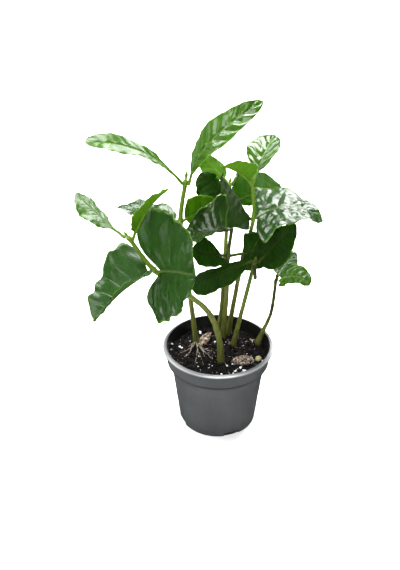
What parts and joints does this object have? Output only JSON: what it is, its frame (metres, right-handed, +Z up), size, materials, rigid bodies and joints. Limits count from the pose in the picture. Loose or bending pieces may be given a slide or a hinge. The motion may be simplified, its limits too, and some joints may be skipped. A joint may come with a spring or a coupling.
{
  "type": "potted coffee seedlings",
  "caption": "Young coffee plants with broad wavy seed leaves and glossy pointed leaves on slim green stems, in a small round tapered nursery pot filled with dark soil.",
  "frame": {"origin": "centre of the pot's flat underside", "axes": "+Z up along the pot's axis; -Y towards the viewer of the picture, +X to the viewer's right"},
  "size_m": [0.1216, 0.0962, 0.1791],
  "materials": {
    "pot_plastic": "matte dark grey moulded plastic",
    "soil": "damp dark peat with pale crumbs",
    "stem": "smooth olive green young stem",
    "leaf_dark": "dark green, softly glossy",
    "leaf_green": "mid green, softly glossy",
    "leaf_young": "fresh yellow green, glossy"
  },
  "bodies": {
    "root": {"pot": "pot_plastic", "soil": "soil", "left_stem": "stem", "tall_stem": "stem", "middle_stem": "stem", "centre_stem": "stem", "right_stem": "stem", "outer_stem": "stem", "back_stem": "stem", "left_seed_leaf_a": "leaf_green", "left_seed_leaf_b": "leaf_green", "left_top_leaf_a": "leaf_young", "left_top_leaf_b": "leaf_young", "tall_seed_leaf_a": "leaf_green", "tall_seed_leaf_b": "leaf_green", "tall_top_leaf_a": "leaf_young", "tall_top_leaf_b": "leaf_young", "middle_seed_leaf_a": "leaf_dark", "middle_seed_leaf_b": "leaf_dark", "middle_top_leaf_a": "leaf_dark", "centre_seed_leaf_a": "leaf_dark", "centre_seed_leaf_b": "leaf_dark", "centre_top_leaf_a": "leaf_young", "centre_top_leaf_b": "leaf_young", "right_seed_leaf_a": "leaf_dark", "right_seed_leaf_b": "leaf_dark", "outer_seed_leaf_a": "leaf_green", "outer_seed_leaf_b": "leaf_green", "back_seed_leaf_a": "leaf_dark", "back_seed_leaf_b": "leaf_green", "back_top_leaf_a": "leaf_green", "back_top_leaf_b": "leaf_green"}
  },
  "joints": []
}
